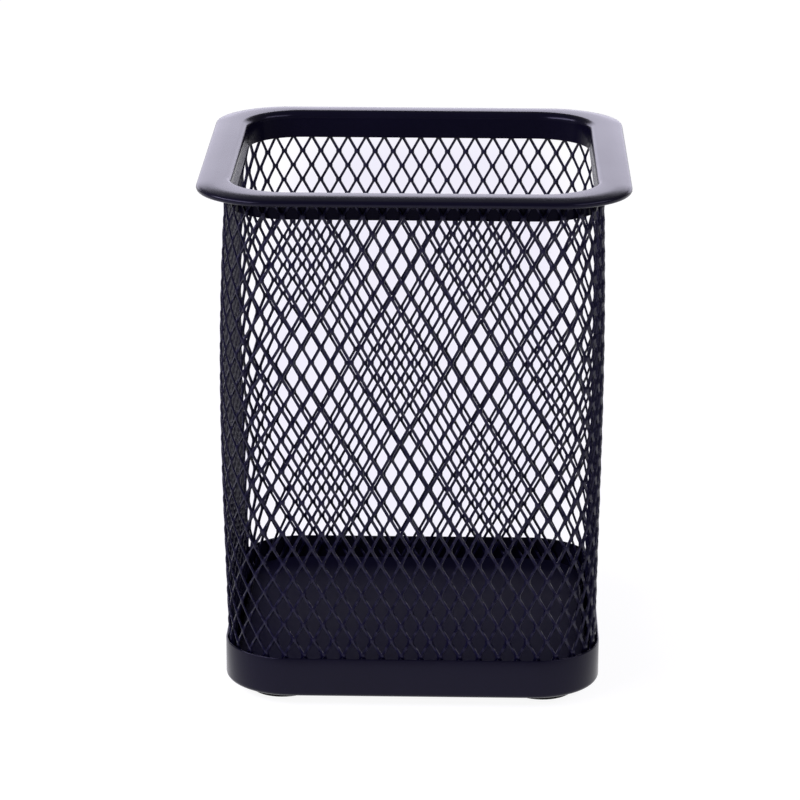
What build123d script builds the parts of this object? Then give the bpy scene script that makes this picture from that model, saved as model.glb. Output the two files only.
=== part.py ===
"""Square desk cup for pens: steel rim, expanded steel mesh walls, pressed pan and four feet.

Millimetres, +Z up. The origin is on the desk, under the middle of the cup.
"""
import os
from math import atan2, cos, degrees, radians, sin

from build123d import *

# Overall sizes
rim_width = 80.0
overall_height = 99.5
foot_height = 2.0

# Rim frame, which stands out past the pan on every side
rim_overhang = 4.4
rim_steel = 0.6
rim_corner_radius = 14.3
crown_radius = 11.4
crown_turn = 15.0
hem_width = 2.0
collar_depth = 5.3
collar_bend_radius = 1.3

# Base pan, with a channel for the mesh round its raised floor
pan_height = 7.7
pan_steel = 0.4
pan_corner_radius = 12.8
pan_bend_radius = 1.0
floor_lift = 3.6
floor_bend_radius = 0.8
channel_width = 1.6

# Expanded mesh
mesh_sheet = 0.7
mesh_columns = 10
mesh_rows = 11
corner_facets = 8
strand_width = 0.7
bond_width = 1.1

# Spot welds between the mesh and the steel beside it
weld_gap = 0.2
weld_radius = 0.55
weld_first_column = 1
weld_column_step = 4

# Feet
foot_radius = 6.2
foot_inset = 10.9
foot_edge_radius = 0.5

# Heights that follow from the sizes above; the mesh ends where the bends of the pan and the collar start
rim_underside = overall_height - rim_steel
floor_underside = foot_height + floor_lift
pan_top = foot_height + pan_height
mesh_bottom = foot_height + pan_bend_radius
mesh_top = overall_height - collar_bend_radius
rim_weld_height = overall_height - collar_depth / 2
base_weld_height = (mesh_bottom + pan_top) / 2

# Widths, from the pan inwards to the cup's mouth, as halves inside the pan
pan_width = rim_width - 2 * rim_overhang
pan_inside = pan_width / 2 - pan_steel
mesh_outside = pan_inside - weld_gap
mesh_inside = mesh_outside - mesh_sheet
collar_outside = mesh_inside - weld_gap
mouth = collar_outside - rim_steel

# Flange: flat inside, then crowned down to an edge that is hemmed under
curl_reach = crown_radius - rim_steel
crown_reach = curl_reach * sin(radians(crown_turn)) + rim_steel
flange_flat = rim_width / 2 - crown_reach
flange_corner_radius = rim_corner_radius - crown_reach
hem_radius = curl_reach - rim_steel
hem_turn = degrees(hem_width / hem_radius)

# Corner radii, all about the same four upright axes
mesh_corner_radius = pan_corner_radius - pan_steel - weld_gap
collar_corner_radius = mesh_corner_radius - mesh_sheet - weld_gap
mouth_corner_radius = collar_corner_radius - rim_steel
corner_axis = mesh_outside - mesh_corner_radius

# Mesh lattice: bonds stand in both rows of welds, and gaps alternate with bonds along each row
row_pitch = (rim_weld_height - base_weld_height) / mesh_rows
wall_width = 2 * corner_axis
wall_half_pitch = wall_width / mesh_columns / 2
facet_turn = 90 / corner_facets
facet_width = 2 * mesh_corner_radius * sin(radians(facet_turn / 2))
facet_reach = mesh_corner_radius * cos(radians(facet_turn / 2))

# Turns about +Z that carry the front side and the front right corner to each side and corner
side_turns = {"front": 0, "right": 90, "rear": 180, "left": 270}
corner_turns = {"front_right": 0, "rear_right": 90, "rear_left": 180, "front_left": 270}

os.makedirs("parts", exist_ok=True)


def outward_plane(turn, reach, axis=(0, 0)):
    """Upright plane that faces outwards, this far from an upright axis, turned about it from the front."""
    outward = Vector(0, -1, 0).rotate(Axis.Z, turn)
    along = Vector(1, 0, 0).rotate(Axis.Z, turn)
    return Plane(origin=Vector(*axis) + outward * reach, x_dir=along, z_dir=outward)


def net(half_columns, half_pitch, first_column=0):
    """Face of the mesh sheet over some half columns, centred on X = 0, with Y as the height."""
    slope = atan2(row_pitch / 2, half_pitch)
    gap_reach = half_pitch - strand_width / sin(slope) / 2
    gap_tip = row_pitch / 2 - strand_width / cos(slope) / 2
    blunt_reach = half_pitch - bond_width / 2
    blunt_half = gap_tip * (1 - blunt_reach / gap_reach)
    right_side = [(0, gap_tip), (blunt_reach, blunt_half), (blunt_reach, -blunt_half)]
    left_side = [(-x, -y) for x, y in right_side]
    centres = []
    for column in range(half_columns + 1):
        x = (column - half_columns / 2) * half_pitch
        bond_in_row = (first_column + column) % 2 == 0
        lift = row_pitch / 2 if bond_in_row else 0
        for row in range(-1, mesh_rows + 2):
            centres.append((x, base_weld_height + row * row_pitch + lift))
    with BuildSketch() as sheet:
        with Locations((0, (mesh_bottom + mesh_top) / 2)):
            Rectangle(half_columns * half_pitch, mesh_top - mesh_bottom)
        with Locations(*centres):
            Polygon(*right_side, *left_side, align=None, mode=Mode.SUBTRACT)
    return sheet.sketch


def spot_welds(inner_reach, height):
    """Weld spots on all four sides, from this reach outwards across the weld gap, one row at a height."""
    columns = range(weld_first_column, mesh_columns, weld_column_step)
    places = [(2 * column * wall_half_pitch - corner_axis, height) for column in columns]
    with BuildPart() as welds:
        for turn in side_turns.values():
            with BuildSketch(outward_plane(turn, inner_reach)):
                with Locations(*places):
                    Circle(weld_radius)
            extrude(amount=weld_gap)
    return welds.part


# Rim frame: flat flange with a drawn collar, then the crowned and hemmed edge swept round it
with BuildPart() as rim_frame:
    with BuildSketch(Plane.XY.offset(rim_underside)):
        RectangleRounded(2 * flange_flat, 2 * flange_flat, flange_corner_radius)
        RectangleRounded(2 * mouth, 2 * mouth, mouth_corner_radius, mode=Mode.SUBTRACT)
    extrude(amount=rim_steel)
    with BuildSketch(Plane.XY.offset(rim_underside)):
        RectangleRounded(2 * collar_outside, 2 * collar_outside, collar_corner_radius)
        RectangleRounded(2 * mouth, 2 * mouth, mouth_corner_radius, mode=Mode.SUBTRACT)
    extrude(amount=rim_steel - collar_depth)
    flange_under = rim_frame.faces().filter_by(Plane.XY).sort_by(Axis.Z)[-2]
    fillet(flange_under.inner_wires()[0].edges(), collar_bend_radius - rim_steel)
    flange_top = rim_frame.faces().sort_by(Axis.Z)[-1]
    fillet(flange_top.inner_wires()[0].edges(), collar_bend_radius)
    flange_edge = rim_frame.faces().sort_by(Axis.Z)[-1].outer_wire()
    edge_along = flange_edge % 0
    edge_out = edge_along.cross(Vector(0, 0, 1))
    with BuildSketch(Plane(origin=flange_edge @ 0, x_dir=edge_out, z_dir=-edge_along)):
        with BuildLine():
            crown_middle = (0, -crown_radius)
            tip = 90 - crown_turn
            top = CenterArc(crown_middle, crown_radius, 90, -crown_turn)
            curl_middle = Vector(*crown_middle) + Vector(curl_reach, 0).rotate(Axis.Z, tip)
            CenterArc(curl_middle, rim_steel, tip, -180)
            hem = CenterArc(crown_middle, hem_radius, tip, hem_turn)
            under = CenterArc(crown_middle, curl_reach, tip + hem_turn, crown_turn - hem_turn)
            Line(hem @ 1, under @ 0)
            Line(under @ 1, top @ 0)
        make_face()
    sweep(path=flange_edge)
rim_frame.part.label = "rim_frame"
export_step(rim_frame.part, "parts/rim_frame.step")

# Base pan: pressed tray with a rounded lower edge and a floor pushed up inside its channel
floor_half = pan_inside - channel_width
floor_corner_radius = pan_corner_radius - pan_steel - channel_width
with BuildPart() as base_pan:
    with BuildSketch(Plane.XY.offset(foot_height)):
        RectangleRounded(pan_width, pan_width, pan_corner_radius)
    extrude(amount=pan_height)
    fillet(base_pan.faces().sort_by(Axis.Z)[0].edges(), pan_bend_radius)
    offset(amount=-pan_steel, openings=base_pan.faces().sort_by(Axis.Z)[-1])
    with BuildSketch(Plane.XY.offset(foot_height)) as floor_outline:
        RectangleRounded(2 * floor_half, 2 * floor_half, floor_corner_radius)
    extrude(amount=floor_lift + pan_steel)
    raised_floor = base_pan.faces().filter_by(Plane.XY).sort_by(Axis.Z)[-2]
    fillet(raised_floor.edges(), floor_bend_radius)
    with BuildSketch(Plane.XY.offset(foot_height)):
        add(floor_outline.sketch)
        offset(amount=-pan_steel, mode=Mode.REPLACE)
    extrude(amount=floor_lift, mode=Mode.SUBTRACT)
base_pan.part.label = "base_pan"
export_step(base_pan.part, "parts/base_pan.step")

# Flat mesh wall between two corners: one holed face, thickened inwards
with BuildPart() as mesh_wall:
    with BuildSketch(outward_plane(0, mesh_outside)):
        add(net(2 * mesh_columns, wall_half_pitch))
    extrude(amount=-mesh_sheet, clean=False)
for side, turn in side_turns.items():
    wall = mesh_wall.part.rotate(Axis.Z, turn)
    wall.label = f"mesh_wall_{side}"
    export_step(wall, f"parts/mesh_wall_{side}.step", write_pcurves=False)

# Bent mesh corner: one zigzag strand on each facet, folded at its bonds and cut square to meet the walls
corner_middle = (corner_axis, -corner_axis)
with BuildPart() as mesh_corner:
    for facet in range(corner_facets):
        facing = (facet + 0.5) * facet_turn
        with BuildSketch(outward_plane(facing, facet_reach, corner_middle)):
            add(net(1, facet_width, first_column=facet))
        extrude(amount=-mesh_sheet)
    split(bisect_by=outward_plane(0, 0, corner_middle), keep=Keep.TOP)
    split(bisect_by=outward_plane(90, 0, corner_middle), keep=Keep.TOP)
for corner, turn in corner_turns.items():
    bend = mesh_corner.part.rotate(Axis.Z, turn)
    bend.label = f"mesh_corner_{corner}"
    export_step(bend, f"parts/mesh_corner_{corner}.step", write_pcurves=False)

# Spot welds: mesh to collar, and pan to mesh
rim_spot_welds = spot_welds(collar_outside, rim_weld_height)
rim_spot_welds.label = "rim_spot_welds"
export_step(rim_spot_welds, "parts/rim_spot_welds.step")
base_spot_welds = spot_welds(mesh_outside, base_weld_height)
base_spot_welds.label = "base_spot_welds"
export_step(base_spot_welds, "parts/base_spot_welds.step")

# Round foot under the pan's raised floor
foot_reach = pan_width / 2 - foot_inset
with BuildPart() as foot:
    with BuildSketch():
        with Locations((foot_reach, -foot_reach)):
            Circle(foot_radius)
    extrude(amount=floor_underside)
    fillet(foot.faces().sort_by(Axis.Z)[0].edges(), foot_edge_radius)
for corner, turn in corner_turns.items():
    pad = foot.part.rotate(Axis.Z, turn)
    pad.label = f"foot_{corner}"
    export_step(pad, f"parts/foot_{corner}.step")
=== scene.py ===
import logging
from dataclasses import dataclass, field
from enum import Enum
from math import copysign, cos, floor, pi, radians, sin, sqrt
from typing import Any, Protocol, Sequence

import bmesh
import bpy
from bmesh.types import BMEdge, BMesh, BMVert
from mathutils import Matrix, Vector


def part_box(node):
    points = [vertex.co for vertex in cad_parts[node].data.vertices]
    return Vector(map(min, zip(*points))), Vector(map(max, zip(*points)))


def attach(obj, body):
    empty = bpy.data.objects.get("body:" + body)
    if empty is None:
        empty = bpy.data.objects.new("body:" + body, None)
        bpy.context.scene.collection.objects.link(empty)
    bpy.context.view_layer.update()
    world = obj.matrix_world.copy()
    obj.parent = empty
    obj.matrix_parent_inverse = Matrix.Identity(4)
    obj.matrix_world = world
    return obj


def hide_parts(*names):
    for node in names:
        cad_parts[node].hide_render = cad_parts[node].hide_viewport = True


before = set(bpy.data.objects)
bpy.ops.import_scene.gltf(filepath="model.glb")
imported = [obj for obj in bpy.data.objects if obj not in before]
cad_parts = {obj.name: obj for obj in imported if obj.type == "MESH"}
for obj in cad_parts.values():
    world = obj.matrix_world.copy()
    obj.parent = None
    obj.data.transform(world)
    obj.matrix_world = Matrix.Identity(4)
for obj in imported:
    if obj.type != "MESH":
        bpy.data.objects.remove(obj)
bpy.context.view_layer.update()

BODY: str = "root"
CELL_MAP: str = "mesh_cells"
MM: float = 0.001
WHITE: str = "#ffffff"

# Points nearer than this are one point, in a section or a cut and where the sleeve's ends meet
SAME_POINT: float = 1e-7
SAME_SEAM_POINT: float = 1e-6

# Directions round a bend in the steel's section
OUT: float = 0.0
UP: float = 90.0
IN: float = 180.0
DOWN: float = -90.0
FULL_TURN: float = 360.0

LOG: logging.Logger = logging.getLogger("desk_cup")


class Slot(Enum):
    """Material slots of the record."""

    STEEL = "painted_steel"
    MESH = "painted_mesh"
    FOOT = "foot_rubber"


class Corner(Enum):
    """Corners of the cup, seen from above with the front towards the camera."""

    FRONT_RIGHT = "front_right"
    REAR_RIGHT = "rear_right"
    REAR_LEFT = "rear_left"
    FRONT_LEFT = "front_left"


class Side(Enum):
    """Sides of the cup, seen from above with the front towards the camera."""

    FRONT = "front"
    RIGHT = "right"
    REAR = "rear"
    LEFT = "left"


def linear(hex_colour: str) -> tuple[float, float, float, float]:
    """Turns an sRGB hex colour into linear red, green, blue and alpha, by the standard's curve.

    Args:
        hex_colour: The colour, such as "#16151b".

    Returns:
        The linear colour with an alpha of 1.
    """
    channels = [int(hex_colour[place : place + 2], 16) / 255 for place in (1, 3, 5)]
    red, green, blue = [
        c / 12.92 if c <= 0.04045 else ((c + 0.055) / 1.055) ** 2.4 for c in channels
    ]
    return red, green, blue, 1.0


def per_metre(spacing_mm: float) -> float:
    """Returns the texture scale that repeats a pattern every so many millimetres."""
    return 1 / (spacing_mm * MM)


def add_node(
    tree: bpy.types.NodeTree,
    kind: str,
    inputs: dict[str | int, Any] | None = None,
    **settings: Any,
) -> bpy.types.Node:
    """Adds a node with its settings, and sets or links its inputs.

    Args:
        tree: The node tree that takes the node.
        kind: The node's type name.
        inputs: Input names or numbers, each with a value or with the output socket to link from.
        **settings: Properties of the node.

    Returns:
        The new node.
    """
    node = tree.nodes.new(kind)
    for setting, value in settings.items():
        setattr(node, setting, value)
    for key, value in (inputs or {}).items():
        if isinstance(value, bpy.types.NodeSocket):
            tree.links.new(value, node.inputs[key])
        else:
            node.inputs[key].default_value = value
    return node


def empty_material(name: str) -> bpy.types.Material:
    """Makes a node material with no nodes in it.

    Args:
        name: The material's name.

    Returns:
        The new material.
    """
    material = bpy.data.materials.new(name)
    material.use_nodes = True
    material.node_tree.nodes.clear()
    return material


def bond_swell(tree: bpy.types.NodeTree) -> bpy.types.NodeSocket:
    """Works out how the paint swells along the mesh.

    Args:
        tree: The paint's node tree.

    Returns:
        A height of 1 on each bond, 0 half way along a strand and -1 within a gap.
    """
    cells = add_node(tree, "ShaderNodeUVMap", uv_map=CELL_MAP).outputs["UV"]
    turns = add_node(
        tree, "ShaderNodeVectorMath", {0: cells, 1: (2 * pi, 2 * pi, 0.0)}, operation="MULTIPLY"
    ).outputs["Vector"]
    waves = add_node(tree, "ShaderNodeVectorMath", {0: turns}, operation="COSINE")
    split = add_node(tree, "ShaderNodeSeparateXYZ", {"Vector": waves.outputs["Vector"]}).outputs
    height = add_node(tree, "ShaderNodeMath", {0: split["X"], 1: split["Y"]}, operation="MULTIPLY")
    return height.outputs["Value"]


def seen_ray(tree: bpy.types.NodeTree) -> bpy.types.NodeSocket:
    """Tells the rays that carry the background to the eye from those that light the cup.

    Args:
        tree: The background's node tree.

    Returns:
        A value of 1 for camera, glossy and transmission rays and 0 for the rest.
    """
    path = add_node(tree, "ShaderNodeLightPath").outputs
    shiny = add_node(
        tree,
        "ShaderNodeMath",
        {0: path["Is Glossy Ray"], 1: path["Is Transmission Ray"]},
        operation="MAXIMUM",
    )
    seen = add_node(
        tree,
        "ShaderNodeMath",
        {0: path["Is Camera Ray"], 1: shiny.outputs["Value"]},
        operation="MAXIMUM",
    )
    return seen.outputs["Value"]


@dataclass(frozen=True)
class SatinPaint:
    """Black stoving paint on steel.

    It flows out before it is baked, so the eye gets a soft satin gloss with the faintest ripple in
    the reflections, and patches that are a little duller than their neighbours.
    """

    name: str
    colour: str = "#0a0818"
    pale_colour: str = "#110f21"
    gloss_roughness: float = 0.18
    dull_roughness: float = 0.24
    specular_level: float = 0.2
    specular_tint: str = "#e6e2ff"
    ripple_mm: float = 1.6
    ripple_depth_mm: float = 0.02
    ripple_strength: float = 0.1
    ripple_detail: float = 1.0
    patch_mm: float = 14.0
    patch_detail: float = 3.0
    swell_mm: float = 0.0

    def material(self) -> bpy.types.Material:
        """Mixes the paint, with its patches and ripple on Object coordinates.

        Returns:
            The paint as a node material.
        """
        paint = empty_material(self.name)
        tree = paint.node_tree
        place = add_node(tree, "ShaderNodeTexCoord").outputs["Object"]
        patches = add_node(
            tree,
            "ShaderNodeTexNoise",
            {"Vector": place, "Scale": per_metre(self.patch_mm), "Detail": self.patch_detail},
        ).outputs["Fac"]
        ripple = add_node(
            tree,
            "ShaderNodeTexNoise",
            {"Vector": place, "Scale": per_metre(self.ripple_mm), "Detail": self.ripple_detail},
        ).outputs["Fac"]
        colour = add_node(
            tree,
            "ShaderNodeMix",
            {"Factor": patches, "A": linear(self.colour), "B": linear(self.pale_colour)},
            data_type="RGBA",
        )
        roughness = add_node(
            tree,
            "ShaderNodeMapRange",
            {"Value": patches, "To Min": self.gloss_roughness, "To Max": self.dull_roughness},
        )
        bump = add_node(
            tree,
            "ShaderNodeBump",
            {
                "Height": ripple,
                "Strength": self.ripple_strength,
                "Distance": self.ripple_depth_mm * MM,
            },
        )
        if self.swell_mm:
            swell = add_node(
                tree,
                "ShaderNodeBump",
                {"Height": bond_swell(tree), "Distance": self.swell_mm * MM},
            )
            tree.links.new(swell.outputs["Normal"], bump.inputs["Normal"])
        shader = add_node(
            tree,
            "ShaderNodeBsdfPrincipled",
            {
                "Base Color": colour.outputs["Result"],
                "Roughness": roughness.outputs["Result"],
                "Normal": bump.outputs["Normal"],
                "Specular IOR Level": self.specular_level,
                "Specular Tint": linear(self.specular_tint),
            },
        )
        add_node(tree, "ShaderNodeOutputMaterial", {"Surface": shader.outputs["BSDF"]})
        return paint


@dataclass(frozen=True)
class MouldedRubber:
    """Black moulded rubber with the grit of its mould and a little dust.

    It stays dull beside the paint. The mould's own grit is too fine to show, so it is drawn as
    coarse as it needs to be seen.
    """

    name: str
    colour: str = "#040406"
    dust_colour: str = "#0a0a0c"
    roughness: float = 0.72
    specular_level: float = 0.15
    grit_mm: float = 0.5
    grit_depth_mm: float = 0.03
    grit_strength: float = 0.5
    dust_mm: float = 3.0

    def material(self) -> bpy.types.Material:
        """Mixes the rubber, with its grit and dust on Object coordinates.

        Returns:
            The rubber as a node material.
        """
        rubber = empty_material(self.name)
        tree = rubber.node_tree
        place = add_node(tree, "ShaderNodeTexCoord").outputs["Object"]
        dust = add_node(
            tree, "ShaderNodeTexNoise", {"Vector": place, "Scale": per_metre(self.dust_mm)}
        )
        grit = add_node(
            tree, "ShaderNodeTexNoise", {"Vector": place, "Scale": per_metre(self.grit_mm)}
        )
        colour = add_node(
            tree,
            "ShaderNodeMix",
            {
                "Factor": dust.outputs["Fac"],
                "A": linear(self.colour),
                "B": linear(self.dust_colour),
            },
            data_type="RGBA",
        )
        bump = add_node(
            tree,
            "ShaderNodeBump",
            {
                "Height": grit.outputs["Fac"],
                "Strength": self.grit_strength,
                "Distance": self.grit_depth_mm * MM,
            },
        )
        shader = add_node(
            tree,
            "ShaderNodeBsdfPrincipled",
            {
                "Base Color": colour.outputs["Result"],
                "Roughness": self.roughness,
                "Normal": bump.outputs["Normal"],
                "Specular IOR Level": self.specular_level,
            },
        )
        add_node(tree, "ShaderNodeOutputMaterial", {"Surface": shader.outputs["BSDF"]})
        return rubber


@dataclass(frozen=True)
class WhitePaper:
    """Matt white photographic paper, white to the camera with the cup's shadow left on it and a
    painted lavender shade behind the cup.
    """

    name: str
    colour: str = "#ece9f0"
    shown_colour: str = "#7c7a80"
    shown_glow: float = 0.92
    # Painted shade: the paper behind the cup glows lavender instead of white, inside this soft oval
    painted_shade_colour: str = "#edebf6"
    shade_middle_mm: tuple[float, float] = (-3.5, 255.0)
    shade_reach_mm: tuple[float, float] = (48.0, 235.0)
    shade_core: float = 0.5

    def material(self) -> bpy.types.Material:
        """Mixes the paper, which is brighter to the camera than to the light it throws back.

        Returns:
            The paper as a node material.
        """
        paper = empty_material(self.name)
        tree = paper.node_tree
        lit = add_node(tree, "ShaderNodeBsdfDiffuse", {"Color": linear(self.colour)})
        shaded = add_node(tree, "ShaderNodeBsdfDiffuse", {"Color": linear(self.shown_colour)})
        # The glow carries the painted lavender shade behind the cup
        glow = add_node(
            tree, "ShaderNodeEmission", {"Color": self.shade(tree), "Strength": self.shown_glow}
        )
        shown = add_node(
            tree, "ShaderNodeAddShader", {0: shaded.outputs["BSDF"], 1: glow.outputs["Emission"]}
        )
        surface = add_node(
            tree,
            "ShaderNodeMixShader",
            {0: seen_ray(tree), 1: lit.outputs["BSDF"], 2: shown.outputs["Shader"]},
        )
        add_node(tree, "ShaderNodeOutputMaterial", {"Surface": surface.outputs["Shader"]})
        return paper

    def shade(self, tree: bpy.types.NodeTree) -> bpy.types.NodeSocket:
        """Tones the paper: white, with a painted soft lavender shade where the cup stands before
        it.

        Args:
            tree: The paper's node tree.

        Returns:
            The tone.
        """
        middle_x, middle_y = (mm * MM for mm in self.shade_middle_mm)
        reach_x, reach_y = (mm * MM for mm in self.shade_reach_mm)
        place = add_node(tree, "ShaderNodeTexCoord").outputs["Object"]
        oval = add_node(
            tree,
            "ShaderNodeMapping",
            {
                "Vector": place,
                "Location": (middle_x, middle_y, 0.0),
                "Scale": (reach_x, reach_y, 1.0),
            },
            vector_type="TEXTURE",
        ).outputs["Vector"]
        squares = add_node(tree, "ShaderNodeVectorMath", {0: oval, 1: oval}, operation="MULTIPLY")
        away = add_node(
            tree, "ShaderNodeVectorMath", {0: squares.outputs["Vector"]}, operation="LENGTH"
        )
        depth = add_node(
            tree,
            "ShaderNodeMapRange",
            {"Value": away.outputs["Value"], "From Min": 1.0, "From Max": self.shade_core},
        )
        tone = add_node(
            tree,
            "ShaderNodeMix",
            {
                "Factor": depth.outputs["Result"],
                "A": linear(WHITE),
                "B": linear(self.painted_shade_colour),
            },
            data_type="RGBA",
        )
        return tone.outputs["Result"]


# Sheet takes a full smooth coat, so the flange and the pan's wall carry soft even reflections
SHEET_PAINT: SatinPaint = SatinPaint(name="satin_black_stoving_paint_on_sheet_steel")
# Painted shade: the drawn collar under the flange takes the sheet's paint with its sheen turned
# down, so it stays deep black face on and shines only along the steel
SHADED_COLLAR_PAINT: SatinPaint = SatinPaint(name="black_paint_on_drawn_steel_with_painted_shade", specular_level=0.04)
# Dipping leaves the coat thick at the bonds, so the strands glint unevenly and soften at their ends
MESH_PAINT: SatinPaint = SatinPaint(
    name="satin_black_dipped_paint_on_expanded_steel",
    colour="#0f0d22",
    pale_colour="#171532",
    gloss_roughness=0.24,
    dull_roughness=0.32,
    specular_level=0.26,
    ripple_mm=0.8,
    ripple_depth_mm=0.08,
    ripple_strength=0.6,
    patch_mm=5.0,
    swell_mm=0.7,
)
# Spray lands half dry inside the pan, so its floor is dull and shows no clear reflection
FLOOR_PAINT: SatinPaint = SatinPaint(
    name="dull_black_paint_inside_the_pan",
    colour="#0f0d1e",
    pale_colour="#18162d",
    gloss_roughness=0.55,
    dull_roughness=0.65,
    specular_level=0.03,
    ripple_mm=0.8,
    ripple_strength=0.3,
)
# A weld is pitted under its coat, so the spots look rougher than the sheet round them
WELD_PAINT: SatinPaint = SatinPaint(
    name="black_paint_over_spot_welds",
    gloss_roughness=0.45,
    dull_roughness=0.6,
    ripple_mm=0.4,
    ripple_strength=0.5,
)
FOOT_RUBBER: MouldedRubber = MouldedRubber(name="black_moulded_rubber")
FLOOR_PAPER: WhitePaper = WhitePaper(name="matt_white_paper")


@dataclass(frozen=True)
class Outline:
    """Level outline of a pressed piece: a square with rounded corners at a height."""

    half: float
    radius: float
    height: float
    corner_steps: int = 14

    def grown(self, out: float, height: float) -> "Outline":
        """Returns the outline moved outwards all round, at another height."""
        return Outline(self.half + out, self.radius + out, height, self.corner_steps)

    def carried(self, point: Vector, other: "Outline") -> Vector:
        """Carries a point of this outline to the like point of another one.

        Args:
            point: The point, on one of the rounded corners.
            other: The outline to carry it to.

        Returns:
            The point on the other outline.
        """
        quadrant = Vector((copysign(1, point.x), copysign(1, point.y), 0))
        outwards = (point - quadrant * (self.half - self.radius)) / self.radius
        outwards.z = 0
        level = Vector((0, 0, other.height))
        return level + quadrant * (other.half - other.radius) + outwards * other.radius

    def draw(self, bm: BMesh) -> list[BMEdge]:
        """Draws the outline as a loop of edges.

        Args:
            bm: The empty mesh that takes the loop.

        Returns:
            The loop's edges.
        """
        square = Matrix.Translation((0, 0, self.height)) @ Matrix.Rotation(radians(45), 4, "Z")
        made = bmesh.ops.create_circle(
            bm, segments=4, radius=self.half * sqrt(2), matrix=square
        )
        bmesh.ops.bevel(
            bm,
            geom=made["verts"],
            offset=self.radius,
            offset_type="OFFSET",
            segments=self.corner_steps,
            profile=0.5,
            affect="VERTICES",
            material=-1,
        )
        return bm.edges[:]


def bend(
    middle: Outline, radius: float, start: float, end: float, steps: int
) -> list[Outline]:
    """Lays outlines along a rounded bend in the steel.

    Args:
        middle: The outline through the bend's centre.
        radius: The bend's radius.
        start: The direction in which the bend starts, such as UP.
        end: The direction in which it ends.
        steps: How many steps it has.

    Returns:
        The outlines from start to end.
    """
    angles = [radians(start + (end - start) * step / steps) for step in range(steps + 1)]
    return [middle.grown(radius * cos(a), middle.height + radius * sin(a)) for a in angles]


def loft(
    bm: BMesh, outlines: Sequence[Outline], closed: bool
) -> tuple[list[BMEdge], list[BMEdge]]:
    """Draws the first outline and pulls it through the others, one after another.

    Args:
        bm: The empty mesh that takes the faces.
        outlines: The outlines in order round the steel's section.
        closed: Whether the last one is joined to the first.

    Returns:
        The first and the last loop of edges.
    """
    first = outlines[0].draw(bm)
    loop = first
    followers = [*outlines[1:], outlines[0]] if closed else outlines[1:]
    for outline, follower in zip(outlines, followers):
        pulled = bmesh.ops.extrude_edge_only(bm, edges=loop)["geom"]
        loop = [part for part in pulled if isinstance(part, BMEdge)]
        for vert in (part for part in pulled if isinstance(part, BMVert)):
            vert.co = outline.carried(vert.co, follower)
    if closed:
        bmesh.ops.remove_doubles(bm, verts=bm.verts, dist=SAME_POINT)
    bmesh.ops.recalc_face_normals(bm, faces=bm.faces)
    return first, loop


def cut_off(bm: BMesh, point: Vector, outwards: Vector) -> None:
    """Cuts a mesh at a plane and drops the side that the plane faces.

    Args:
        bm: The mesh to cut.
        point: A point on the plane.
        outwards: The plane's direction.
    """
    bmesh.ops.bisect_plane(
        bm,
        geom=bm.verts[:] + bm.edges[:] + bm.faces[:],
        dist=SAME_POINT,
        plane_co=point,
        plane_no=outwards,
        clear_outer=True,
    )


def smooth_piece(
    name: str, bm: BMesh, paint: bpy.types.Material
) -> bpy.types.Object:
    """Makes a mesh into a smooth shaded piece that rides on the cup.

    Args:
        name: The piece's name.
        bm: The finished mesh, which is freed.
        paint: The piece's material.

    Returns:
        The piece.
    """
    for face in bm.faces:
        face.smooth = True
    mesh = bpy.data.meshes.new(name)
    bm.to_mesh(mesh)
    bm.free()
    mesh.materials.append(paint)
    piece = bpy.data.objects.new(name, mesh)
    bpy.context.scene.collection.objects.link(piece)
    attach(piece, BODY)
    return piece


class Assembly(Protocol):
    """Sub-assembly of the cup."""

    def dress(self) -> list[bpy.types.Object]:
        """Builds the sub-assembly's pieces, gives them their finish and returns them."""


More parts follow.
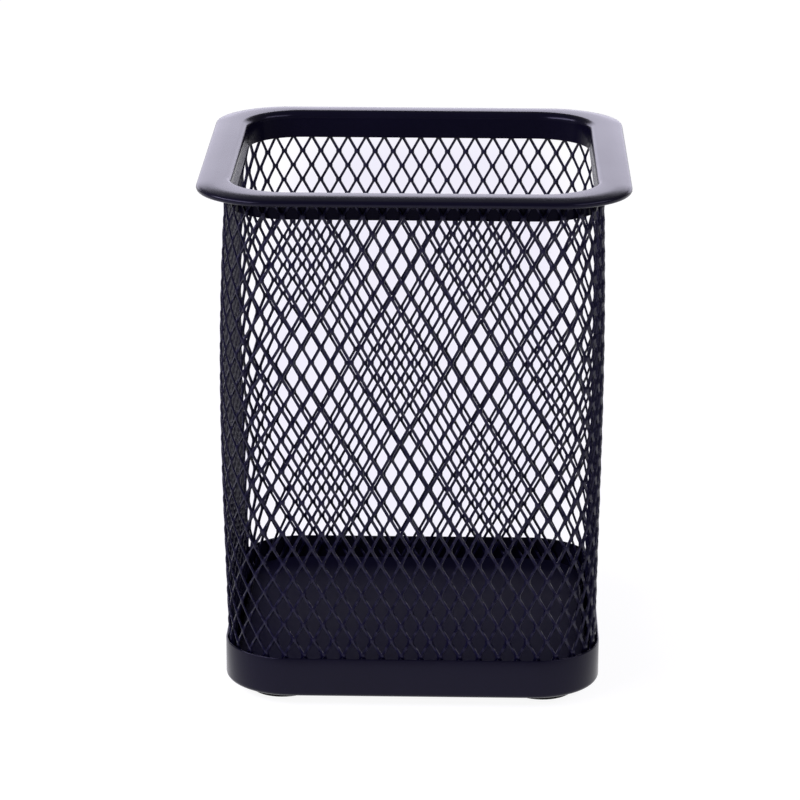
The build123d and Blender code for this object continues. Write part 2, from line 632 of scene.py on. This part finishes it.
@dataclass
class RimFrame:
    """Pressed rim: a flange crowned down to a hemmed edge, and a collar drawn down inside it.

    The collar's rounded lower edge ends its section at collar_seam, one step short of its start.
    """

    node: str = "rim_frame"
    steel: float = 0.6 * MM
    corner_radius: float = 14.3 * MM
    crown_radius: float = 11.4 * MM
    crown_turn: float = 15.0
    hem_turn: float = 11.2
    flange: float = 6.5 * MM
    mouth_corner_radius: float = 10.7 * MM
    collar_bend_radius: float = 1.3 * MM
    collar_seam: float = -60.0
    bend_steps: int = 8
    edge_steps: int = 3

    def section(self) -> list[Outline]:
        """Lays out the rim's section, from the collar's lower edge over the flange and back under.

        Returns:
            The outlines in order round the section.
        """
        low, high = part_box(self.node)
        top = high.z
        edge_radius = self.steel / 2
        tip = UP - self.crown_turn
        hem_end = tip + self.hem_turn
        curl_reach = self.crown_radius - self.steel
        hem_radius = self.crown_radius - 2 * self.steel
        crown_reach = curl_reach * cos(radians(tip)) + self.steel
        outer = Outline(high.x, self.corner_radius, top)
        mouth = Outline(high.x - self.flange, self.mouth_corner_radius, top)
        collar_edge = mouth.grown(edge_radius, low.z + edge_radius)
        collar_bend = mouth.grown(self.collar_bend_radius, top - self.collar_bend_radius)
        crown = outer.grown(-crown_reach, top - self.crown_radius)
        curl = outer.grown(-self.steel, crown.height + curl_reach * sin(radians(tip)))
        return [
            *bend(collar_edge, edge_radius, DOWN, IN - FULL_TURN, self.edge_steps),
            *bend(collar_bend, self.collar_bend_radius, IN, UP, self.bend_steps),
            *bend(crown, self.crown_radius, UP, tip, self.bend_steps),
            *bend(curl, self.steel, tip, tip - FULL_TURN / 2, self.bend_steps)[1:],
            *bend(crown, hem_radius, tip, hem_end, self.edge_steps)[1:],
            *bend(crown, curl_reach, hem_end, UP, self.edge_steps),
            *bend(collar_bend, self.collar_bend_radius - self.steel, UP, IN, self.edge_steps),
            *bend(collar_edge, edge_radius, OUT, self.collar_seam, self.edge_steps),
        ]

    def build(self) -> BMesh:
        """Pulls the rim's mesh along its section, with the collar as the second material, which
        carries painted shade.

        Returns:
            The rim's mesh.
        """
        low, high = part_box(self.node)
        bm = bmesh.new()
        loft(bm, self.section(), closed=True)
        # Faces below half height are the collar, which takes the paint with painted shade
        for face in bm.faces:
            if face.calc_center_median().z < (low.z + high.z) / 2:
                face.material_index = 1
        return bm

    def dress(self) -> list[bpy.types.Object]:
        """Paints the rim and puts it in place of its node.

        Returns:
            The rim, as the only piece.
        """
        rim = self.build()
        piece = smooth_piece("rim_frame_pressing", rim, SHEET_PAINT.material())
        # The collar's second paint is the sheet's paint with its sheen turned down, as painted
        # shade under the flange
        piece.data.materials.append(SHADED_COLLAR_PAINT.material())
        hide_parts(self.node)
        return [piece]


@dataclass
class BasePan:
    """Pressed pan: a wall with a rounded lower edge, a channel for the mesh and a raised floor."""

    node: str = "base_pan"
    steel: float = 0.4 * MM
    corner_radius: float = 12.8 * MM
    bend_radius: float = 1.0 * MM
    channel: float = 1.6 * MM
    floor_lift: float = 3.6 * MM
    floor_bend_radius: float = 0.8 * MM
    channel_bend_radius: float = 0.5 * MM
    bend_steps: int = 8
    step_bend_steps: int = 4

    def section(self) -> list[Outline]:
        """Lays out the pan's section, from the floor's top round the wall to the floor's underside.

        Returns:
            The outlines in order along the section.
        """
        low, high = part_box(self.node)
        steps = self.step_bend_steps
        edge_radius = self.steel / 2
        channel_inside = self.channel_bend_radius
        channel_outside = channel_inside + self.steel
        floor_outside = self.floor_bend_radius
        floor_inside = floor_outside - self.steel
        floor_top = low.z + self.floor_lift + self.steel
        outside = Outline(high.x, self.corner_radius, high.z)
        wall_top = outside.grown(-edge_radius, high.z - edge_radius)
        lower_bend = outside.grown(-self.bend_radius, low.z + self.bend_radius)
        step = outside.grown(-self.steel - self.channel, floor_top)
        floor_bend = step.grown(-floor_outside, floor_top - floor_outside)
        channel_bend = step.grown(channel_inside, low.z + self.steel + channel_inside)
        return [
            *bend(floor_bend, floor_outside, UP, OUT, steps),
            *bend(channel_bend, channel_inside, IN, DOWN + FULL_TURN, steps),
            *bend(lower_bend, self.bend_radius - self.steel, DOWN, OUT, self.bend_steps),
            *bend(wall_top, edge_radius, IN, OUT, steps),
            *bend(lower_bend, self.bend_radius, OUT, DOWN, self.bend_steps),
            *bend(channel_bend, channel_outside, DOWN + FULL_TURN, IN, steps),
            *bend(floor_bend, floor_inside, OUT, UP, steps),
        ]

    def build(self) -> BMesh:
        """Pulls the pan's mesh along its section, with the floor's top as the second material.

        Returns:
            The pan's mesh.
        """
        bm = bmesh.new()
        floor_loop, underside_loop = loft(bm, self.section(), closed=False)
        floor_top = bmesh.ops.edgeloop_fill(bm, edges=floor_loop)["faces"]
        bmesh.ops.edgeloop_fill(bm, edges=underside_loop)
        bmesh.ops.recalc_face_normals(bm, faces=bm.faces)
        for face in floor_top:
            face.material_index = 1
        return bm

    def dress(self) -> list[bpy.types.Object]:
        """Paints the pan and puts it in place of its node.

        Returns:
            The pan, as the only piece.
        """
        pan = self.build()
        piece = smooth_piece("base_pan_pressing", pan, SHEET_PAINT.material())
        piece.data.materials.append(FLOOR_PAINT.material())
        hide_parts(self.node)
        return [piece]


@dataclass
class MeshSleeve:
    """Sheet of expanded steel, folded into a square sleeve with rounded corners.

    Its slits open into pointed gaps, and the strands between them twist a little, so each gap's two
    sides stand at different depths. A gap's corner past the side_tip share of its half width is one
    of its side tips, which are blunted. Paint rounds the edges sharper than round_above. The sides
    bow out, above the middle where bow_lift is over 1, and sway to one side half way up. The
    column_waves are the cosine, sine and double sine of the uneven column spacing round the cup.
    """

    columns: int = 71
    row_pitch: float = 5.988 * MM
    strand: float = 0.63 * MM
    blunting: float = 0.38 * MM
    side_tip: float = 0.5
    sheet: float = 0.36 * MM
    twist: float = -0.2 * MM
    edge_round: float = 0.07 * MM
    round_above: float = 50.0
    bow: float = 0.95 * MM
    bow_lift: float = 1.4
    sway: float = -0.36 * MM
    bond_row_height: float = 52.67 * MM
    bond_row_wave: float = 0.08 * MM
    row_stretch_wave: float = -0.0132
    column_shift: float = -0.13 * MM
    column_waves: tuple[float, float, float] = (-0.13 * MM, -0.17 * MM, 0.09 * MM)
    spare_cells: int = 3
    walls: tuple[str, ...] = tuple(f"mesh_wall_{side.value}" for side in Side)
    corners: tuple[str, ...] = tuple(f"mesh_corner_{corner.value}" for corner in Corner)

    low: float = field(init=False)
    high: float = field(init=False)
    reach: float = field(init=False)
    middle_radius: float = field(init=False)

    def __post_init__(self) -> None:
        """Takes the sleeve's place from its nodes."""
        inside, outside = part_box("mesh_wall_right")
        corner_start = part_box("mesh_corner_front_right")[0]
        self.low = inside.z
        self.high = outside.z
        self.reach = (inside.x + outside.x) / 2
        self.middle_radius = self.reach - corner_start.x

    @property
    def flat_half(self) -> float:
        """Half the flat width of one side, between its corners."""
        return self.reach - self.middle_radius

    @property
    def quarter(self) -> float:
        """Length of one side and one corner along the middle of the sheet."""
        return 2 * self.flat_half + self.middle_radius * pi / 2

    @property
    def column_pitch(self) -> float:
        """Width of one column of gaps round the sleeve."""
        return 4 * self.quarter / self.columns

    def stretched(self, flat: Vector) -> Vector:
        """Stretches the even lattice as the real sheet is, a little unevenly round the cup.

        Args:
            flat: A point of the even lattice, along from the rear's middle and up from a bond row.

        Returns:
            The point with its distance round the sleeve, its height above the desk and its depth.
        """
        wave = flat.x * 2 * pi / (4 * self.quarter)
        cosine, sine, double_sine = self.column_waves
        along = flat.x + self.column_shift
        along += cosine * cos(wave) + sine * sin(wave) + double_sine * sin(2 * wave)
        height = self.bond_row_height + self.bond_row_wave * cos(wave)
        height += flat.y * (1 + self.row_stretch_wave * cos(wave))
        return Vector((along, height, flat.z))

    def folded(self, flat: Vector) -> Vector:
        """Folds a point of the flat sheet round the sleeve's corners, with its bow and sway.

        Args:
            flat: The point's distance from the rear's middle, its height and how far it stands out.

        Returns:
            The point on the sleeve.
        """
        rise = (flat.y - self.low) / (self.high - self.low)
        spread = self.middle_radius + flat.z + self.bow * sin(pi * rise**self.bow_lift)
        travelled = flat.x + self.flat_half
        side = floor(travelled / self.quarter)
        on_side = travelled - side * self.quarter
        turn = max(0.0, on_side - 2 * self.flat_half) / self.middle_radius
        across = min(on_side, 2 * self.flat_half) - self.flat_half
        point = Vector((-across - spread * sin(turn), self.flat_half + spread * cos(turn), flat.y))
        lean = Vector((self.sway * sin(pi * rise), 0, 0))
        return Matrix.Rotation(side * pi / 2, 3, "Z") @ point + lean

    def flat_net(self, bm: BMesh) -> None:
        """Cuts an even flat sheet into strands, with X along it, Y up and Z outwards.

        Y is 0 on a bond row, and X is 0 at the rear's middle.

        Args:
            bm: The empty mesh that takes the sheet.
        """
        rows = 2 * floor((self.high - self.low) / 2 / self.row_pitch + self.spare_cells)
        columns = self.columns + 2 * self.spare_cells
        size = Matrix.Diagonal((columns * self.column_pitch, rows * self.row_pitch, 1, 1))
        centre = Matrix.Translation((2 * self.quarter, 0, 0))
        unit_half = 0.5
        bmesh.ops.create_grid(
            bm, x_segments=columns, y_segments=rows, size=unit_half, matrix=centre @ size
        )
        frames = [edge for edge in bm.edges if not edge.is_boundary]
        bmesh.ops.poke(bm, faces=bm.faces)
        bmesh.ops.dissolve_edges(bm, edges=frames, use_verts=False)
        gaps = bm.faces[:]
        bmesh.ops.inset_individual(bm, faces=gaps, thickness=self.strand / 2)
        blunted: list[BMVert] = []
        for gap in gaps:
            heart = gap.calc_center_median()
            half_width = max(vert.co.x for vert in gap.verts) - heart.x
            for vert in gap.verts:
                aside = (vert.co.x - heart.x) / half_width
                vert.co.z += self.twist * aside
                if abs(aside) > self.side_tip:
                    blunted.append(vert)
        bmesh.ops.delete(bm, geom=gaps, context="FACES_ONLY")
        bmesh.ops.bevel(
            bm,
            geom=blunted,
            offset=self.blunting,
            offset_type="OFFSET",
            segments=1,
            profile=0.5,
            affect="VERTICES",
            material=-1,
        )

    def build(self) -> BMesh:
        """Cuts the net to size, maps its cells and folds it round the cup.

        Returns:
            The sleeve as a sheet without thickness, closed round the cup.
        """
        bm = bmesh.new()
        self.flat_net(bm)
        cut_off(bm, Vector((0, 0, 0)), Vector((-1, 0, 0)))
        cut_off(bm, Vector((4 * self.quarter, 0, 0)), Vector((1, 0, 0)))
        cells = bm.loops.layers.uv.new(CELL_MAP)
        for loop in (loop for face in bm.faces for loop in face.loops):
            flat = loop.vert.co
            loop[cells].uv = (flat.x / self.column_pitch, flat.y / self.row_pitch)
        for vert in bm.verts:
            vert.co = self.stretched(vert.co)
        cut_off(bm, Vector((0, self.low, 0)), Vector((0, -1, 0)))
        cut_off(bm, Vector((0, self.high, 0)), Vector((0, 1, 0)))
        for vert in bm.verts:
            vert.co = self.folded(vert.co)
        bmesh.ops.remove_doubles(bm, verts=bm.verts, dist=SAME_SEAM_POINT)
        bmesh.ops.recalc_face_normals(bm, faces=bm.faces)
        return bm

    def dress(self) -> list[bpy.types.Object]:
        """Gives the sleeve its thickness and paint, and puts it in place of its eight nodes.

        Returns:
            The sleeve, as the only piece.
        """
        piece = smooth_piece("mesh_sleeve", self.build(), MESH_PAINT.material())
        thickness = piece.modifiers.new("sheet", "SOLIDIFY")
        thickness.thickness = self.sheet
        thickness.offset = 0.0
        rounding = piece.modifiers.new("paint_rounding", "BEVEL")
        rounding.width = self.edge_round
        rounding.segments = 1
        rounding.limit_method = "ANGLE"
        rounding.angle_limit = radians(self.round_above)
        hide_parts(*self.walls, *self.corners)
        return [piece]


@dataclass
class Feet:
    """Four moulded pads under the pan, each with a rounded edge and a shallow dish in its sole."""

    edge_radius: float = 0.5 * MM
    dish_margin: float = 1.0 * MM
    dish_depth: float = 0.25 * MM
    steps: int = 40
    edge_steps: int = 4

    def build(self, node: str) -> BMesh:
        """Builds one pad.

        Args:
            node: The pad's node.

        Returns:
            The pad's mesh.
        """
        low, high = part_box(node)
        radius = (high.x - low.x) / 2
        bm = bmesh.new()
        bmesh.ops.create_cone(
            bm,
            cap_ends=True,
            segments=self.steps,
            radius1=radius,
            radius2=radius,
            depth=high.z - low.z,
            matrix=Matrix.Translation((low + high) / 2),
        )
        sole = min(bm.faces, key=lambda face: face.calc_center_median().z)
        bmesh.ops.bevel(
            bm,
            geom=sole.edges[:],
            offset=self.edge_radius,
            offset_type="OFFSET",
            segments=self.edge_steps,
            profile=0.5,
            affect="EDGES",
            material=-1,
        )
        sole = min(bm.faces, key=lambda face: face.calc_center_median().z)
        bmesh.ops.inset_region(bm, faces=[sole], thickness=self.dish_margin)
        bmesh.ops.inset_region(
            bm, faces=[sole], thickness=self.dish_margin, depth=-self.dish_depth
        )
        return bm

    def dress(self) -> list[bpy.types.Object]:
        """Gives the pads their rubber and puts them in place of their nodes.

        Returns:
            The four pads.
        """
        rubber = FOOT_RUBBER.material()
        pads: list[bpy.types.Object] = []
        for corner in Corner:
            node = f"foot_{corner.value}"
            pad = smooth_piece(f"foot_pad_{corner.value}", self.build(node), rubber)
            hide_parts(node)
            pads.append(pad)
        return pads


@dataclass
class SpotWelds:
    """Weld spots that hold the mesh to the collar and to the pan, kept as the frame has them."""

    nodes: tuple[str, ...] = ("rim_spot_welds", "base_spot_welds")

    def dress(self) -> list[bpy.types.Object]:
        """Paints over the weld spots.

        Returns:
            The weld spots' own nodes.
        """
        paint = WELD_PAINT.material()
        spots = [bpy.data.objects[node] for node in self.nodes]
        for spot in spots:
            for material_slot in spot.material_slots:
                material_slot.material = paint
        return spots


@dataclass(frozen=True)
class Softbox:
    """Rectangular softbox that faces the cup, placed by its turn from the front and its rise."""

    name: str
    azimuth: float
    elevation: float
    distance: float
    width: float
    height: float
    radiance: float
    colour: str

    def hang(self, aim: Vector) -> bpy.types.Object:
        """Hangs the softbox round a point.

        Args:
            aim: The point that it faces.

        Returns:
            The lamp.
        """
        light = bpy.data.lights.new(self.name, "AREA")
        light.shape = "RECTANGLE"
        light.size = self.width
        light.size_y = self.height
        light.energy = self.radiance * pi * self.width * self.height
        light.color = linear(self.colour)[:3]
        lamp = bpy.data.objects.new(self.name, light)
        turn, rise = radians(self.azimuth), radians(self.elevation)
        away = Vector((sin(turn) * cos(rise), -cos(turn) * cos(rise), sin(rise)))
        lamp.location = aim + away * self.distance
        lamp.rotation_euler = (-away).to_track_quat("-Z", "Y").to_euler()
        bpy.context.scene.collection.objects.link(lamp)
        return lamp


@dataclass
class Studio:
    """White paper floor, soft lamps and the camera."""

    floor_half: float = 3.0
    room_light: float = 0.2
    lens_mm: float = 162.85
    camera_place_mm: tuple[float, float, float] = (11.52, -671.03, 254.6)
    camera_aim_mm: tuple[float, float, float] = (-3.0, -0.06, 49.88)
    camera_roll: float = 0.18
    lamp_aim_mm: tuple[float, float, float] = (0.0, 0.0, 50.0)
    softboxes: tuple[Softbox, ...] = (
        Softbox(
            name="softbox_left",
            azimuth=-64.0,
            elevation=34.0,
            distance=0.5,
            width=0.55,
            height=0.15,
            radiance=9.0,
            colour="#ebe7ff",
        ),
        Softbox(
            name="softbox_right",
            azimuth=64.0,
            elevation=36.0,
            distance=1.0,
            width=0.9,
            height=0.25,
            radiance=4.2,
            colour="#ebe7ff",
        ),
        Softbox(
            name="softbox_back",
            azimuth=180.0,
            elevation=12.0,
            distance=1.2,
            width=2.0,
            height=0.45,
            radiance=2.2,
            colour="#eeeaff",
        ),
    )

    def lay_floor(self) -> None:
        """Lays the paper under the feet."""
        bm = bmesh.new()
        bmesh.ops.create_grid(bm, x_segments=1, y_segments=1, size=self.floor_half)
        mesh = bpy.data.meshes.new("paper_floor")
        bm.to_mesh(mesh)
        bm.free()
        mesh.materials.append(FLOOR_PAPER.material())
        paper = bpy.data.objects.new("paper_floor", mesh)
        bpy.context.scene.collection.objects.link(paper)

    def light_room(self) -> None:
        """Fills the room with a little soft light."""
        world = bpy.data.worlds.new("white_room")
        world.use_nodes = True
        tree = world.node_tree
        tree.nodes.clear()
        room = add_node(tree, "ShaderNodeBackground", {"Strength": self.room_light})
        add_node(tree, "ShaderNodeOutputWorld", {"Surface": room.outputs["Background"]})
        bpy.context.scene.world = world

    def set_camera(self) -> None:
        """Sets the camera at the photographed angle."""
        place = Vector(self.camera_place_mm) * MM
        aim = Vector(self.camera_aim_mm) * MM
        lens = bpy.data.cameras.new("camera")
        lens.lens = self.lens_mm
        camera = bpy.data.objects.new("camera", lens)
        camera.location = place
        look = (aim - place).to_track_quat("-Z", "Y").to_matrix().to_4x4()
        roll = Matrix.Rotation(radians(self.camera_roll), 4, "Z")
        camera.rotation_euler = (look @ roll).to_euler()
        bpy.context.scene.collection.objects.link(camera)
        bpy.context.scene.camera = camera

    def prepare(self) -> None:
        """Sets up the floor, the light and the camera."""
        self.lay_floor()
        self.light_room()
        for softbox in self.softboxes:
            softbox.hang(Vector(self.lamp_aim_mm) * MM)
        self.set_camera()
        bpy.context.scene.view_settings.view_transform = "Standard"


def main() -> None:
    """Builds the cup's sub-assemblies in order, and the studio round them."""
    logging.basicConfig(level=logging.INFO, format="%(name)s: %(message)s")
    assemblies: tuple[Assembly, ...] = (
        RimFrame(),
        MeshSleeve(),
        BasePan(),
        Feet(),
        SpotWelds(),
    )
    for assembly in assemblies:
        for piece in assembly.dress():
            LOG.info("%s: %d faces", piece.name, len(piece.data.polygons))
    Studio().prepare()


if __name__ == "__main__":
    main()
